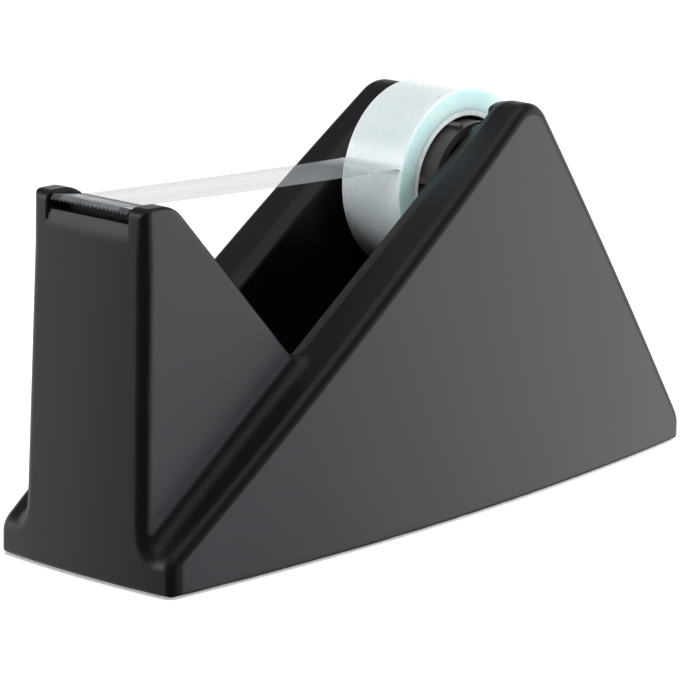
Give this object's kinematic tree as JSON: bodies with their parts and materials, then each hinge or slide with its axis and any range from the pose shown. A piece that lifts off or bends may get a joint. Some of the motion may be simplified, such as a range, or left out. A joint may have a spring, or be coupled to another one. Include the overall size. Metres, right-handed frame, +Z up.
{
  "type": "desk tape dispenser",
  "caption": "Weighted wedge-shaped desk dispenser for adhesive tape, with a cutter tower, a serrated blade and a roll of clear film on a lift-out hub.",
  "frame": {"origin": "centre of the footprint, on the surface that the rubber pads stand on", "axes": "+Z up, +Y from the cutter tower to the tail, +X to the right when looking along +Y"},
  "size_m": [0.047, 0.16, 0.0807],
  "materials": {
    "housing_plastic": "fine satin grain, black",
    "hub_plastic": "smooth, black",
    "blade_steel": "bright, toothed edge",
    "screw_steel": "zinc plated",
    "ballast_iron": "rough casting",
    "pad_rubber": "matte, black",
    "core_card": "matte, white",
    "film": "clear film, pale green in depth"
  },
  "bodies": {
    "base": {"housing": "housing_plastic", "base_plate": "housing_plastic", "ballast_left": "ballast_iron", "ballast_right": "ballast_iron", "pad_front_left": "pad_rubber", "pad_front_right": "pad_rubber", "pad_rear_left": "pad_rubber", "pad_rear_right": "pad_rubber", "base_screws": "screw_steel", "blade_holder": "housing_plastic", "cutter_blade": "blade_steel"},
    "axle": {"hub_axle": "hub_plastic", "tape_lead": "film"},
    "roll": {"hub_drum": "hub_plastic", "tape_core": "core_card", "tape_winding": "film"}
  },
  "joints": [
    {"name": "roll_lift", "type": "slide", "parent": "base", "child": "axle", "axis": [0, 0, 1], "range_m": [0, 0.04]},
    {"name": "roll_spin", "type": "hinge", "parent": "axle", "child": "roll", "pos_m": [0, 0.0158, 0.062], "axis": [1, 0, 0], "continuous": true}
  ]
}
